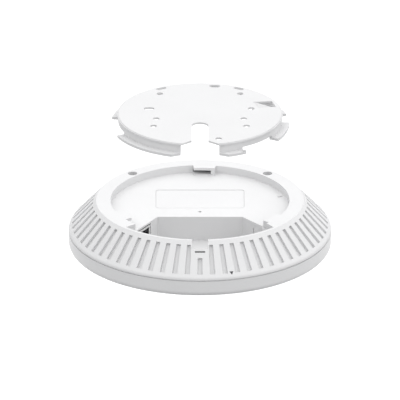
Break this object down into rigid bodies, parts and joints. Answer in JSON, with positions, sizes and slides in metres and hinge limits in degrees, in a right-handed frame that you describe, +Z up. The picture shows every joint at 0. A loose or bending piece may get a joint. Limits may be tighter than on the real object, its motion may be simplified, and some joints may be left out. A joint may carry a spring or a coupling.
{
  "type": "ceiling access point",
  "caption": "Round ceiling-mounted wireless access point with a ribbed rear cone, a cable bay and a twist-lock mounting plate shown lifted off.",
  "frame": {"origin": "centre of the mounting plate's ceiling face", "axes": "+Z up into the ceiling, -Y towards the side with the cable notch, +X to its right seen from that side"},
  "size_m": [0.16, 0.16, 0.0902],
  "materials": {
    "white_plastic": "fine moulded texture",
    "cover_plastic": "smooth satin",
    "dark_ink": "printed",
    "label_film": "smooth film",
    "screw_steel": "zinc plated",
    "jack_metal": "tinned",
    "black_plastic": "matt",
    "gold_contact": "gold plated",
    "board_laminate": "solder mask",
    "chassis_aluminium": "rolled",
    "thermal_pad": "soft",
    "ferrite": "sintered",
    "capacitor_sleeve": "shrink sleeve",
    "led_plastic": "moulded",
    "clear_plastic": "polished",
    "black_rubber": "soft",
    "button_plastic": "moulded"
  },
  "bodies": {
    "plate": {"mounting_plate": "white_plastic"},
    "lens": {"status_lens": "clear_plastic"},
    "gasket": {"dust_seal": "black_rubber", "lens_gasket": "black_rubber"},
    "access_point": {"rear_housing": "white_plastic", "front_cover": "cover_plastic", "alignment_mark": "dark_ink", "rating_label": "label_film", "case_screws": "screw_steel", "lan_jack_shell": "jack_metal", "lan_jack_insert": "black_plastic", "lan_jack_contacts": "gold_contact", "main_board": "board_laminate", "chassis_plate": "chassis_aluminium", "chassis_spacers": "chassis_aluminium", "board_screws": "screw_steel", "cpu_chip": "black_plastic", "radio_chips": "black_plastic", "memory_chips": "black_plastic", "thermal_pads": "thermal_pad", "cpu_shield": "jack_metal", "radio_shields": "jack_metal", "lan_magnetics": "black_plastic", "power_transformer": "ferrite", "power_inductor": "ferrite", "capacitors": "capacitor_sleeve", "status_led": "led_plastic", "antenna_1": "jack_metal", "antenna_2": "jack_metal", "antenna_3": "jack_metal", "antenna_4": "jack_metal", "reset_switch": "black_plastic"},
    "reset_button": {"reset_plunger": "button_plastic"}
  },
  "joints": [
    {"name": "lift", "type": "slide", "parent": "plate", "child": "lens", "axis": [0, 0, 1], "range_m": [0, 0.05265]},
    {"name": "line_up", "type": "hinge", "parent": "lens", "child": "gasket", "pos_m": [0, 0, -0.086], "axis": [0, 0, 1], "range_deg": [-14, 0]},
    {"name": "twist_lock", "type": "hinge", "parent": "gasket", "child": "access_point", "pos_m": [0, 0, -0.07], "axis": [0, 0, 1], "range_deg": [0, 14]},
    {"name": "reset_press", "type": "slide", "parent": "access_point", "child": "reset_button", "axis": [0, 0, -1], "range_m": [0, 0.0003], "stiffness_N_per_m": 900, "springref_m": -0.0002}
  ],
  "couplings": [
    {"joint": "line_up", "follows": "lift", "rad_per_m": -4.6409}
  ]
}
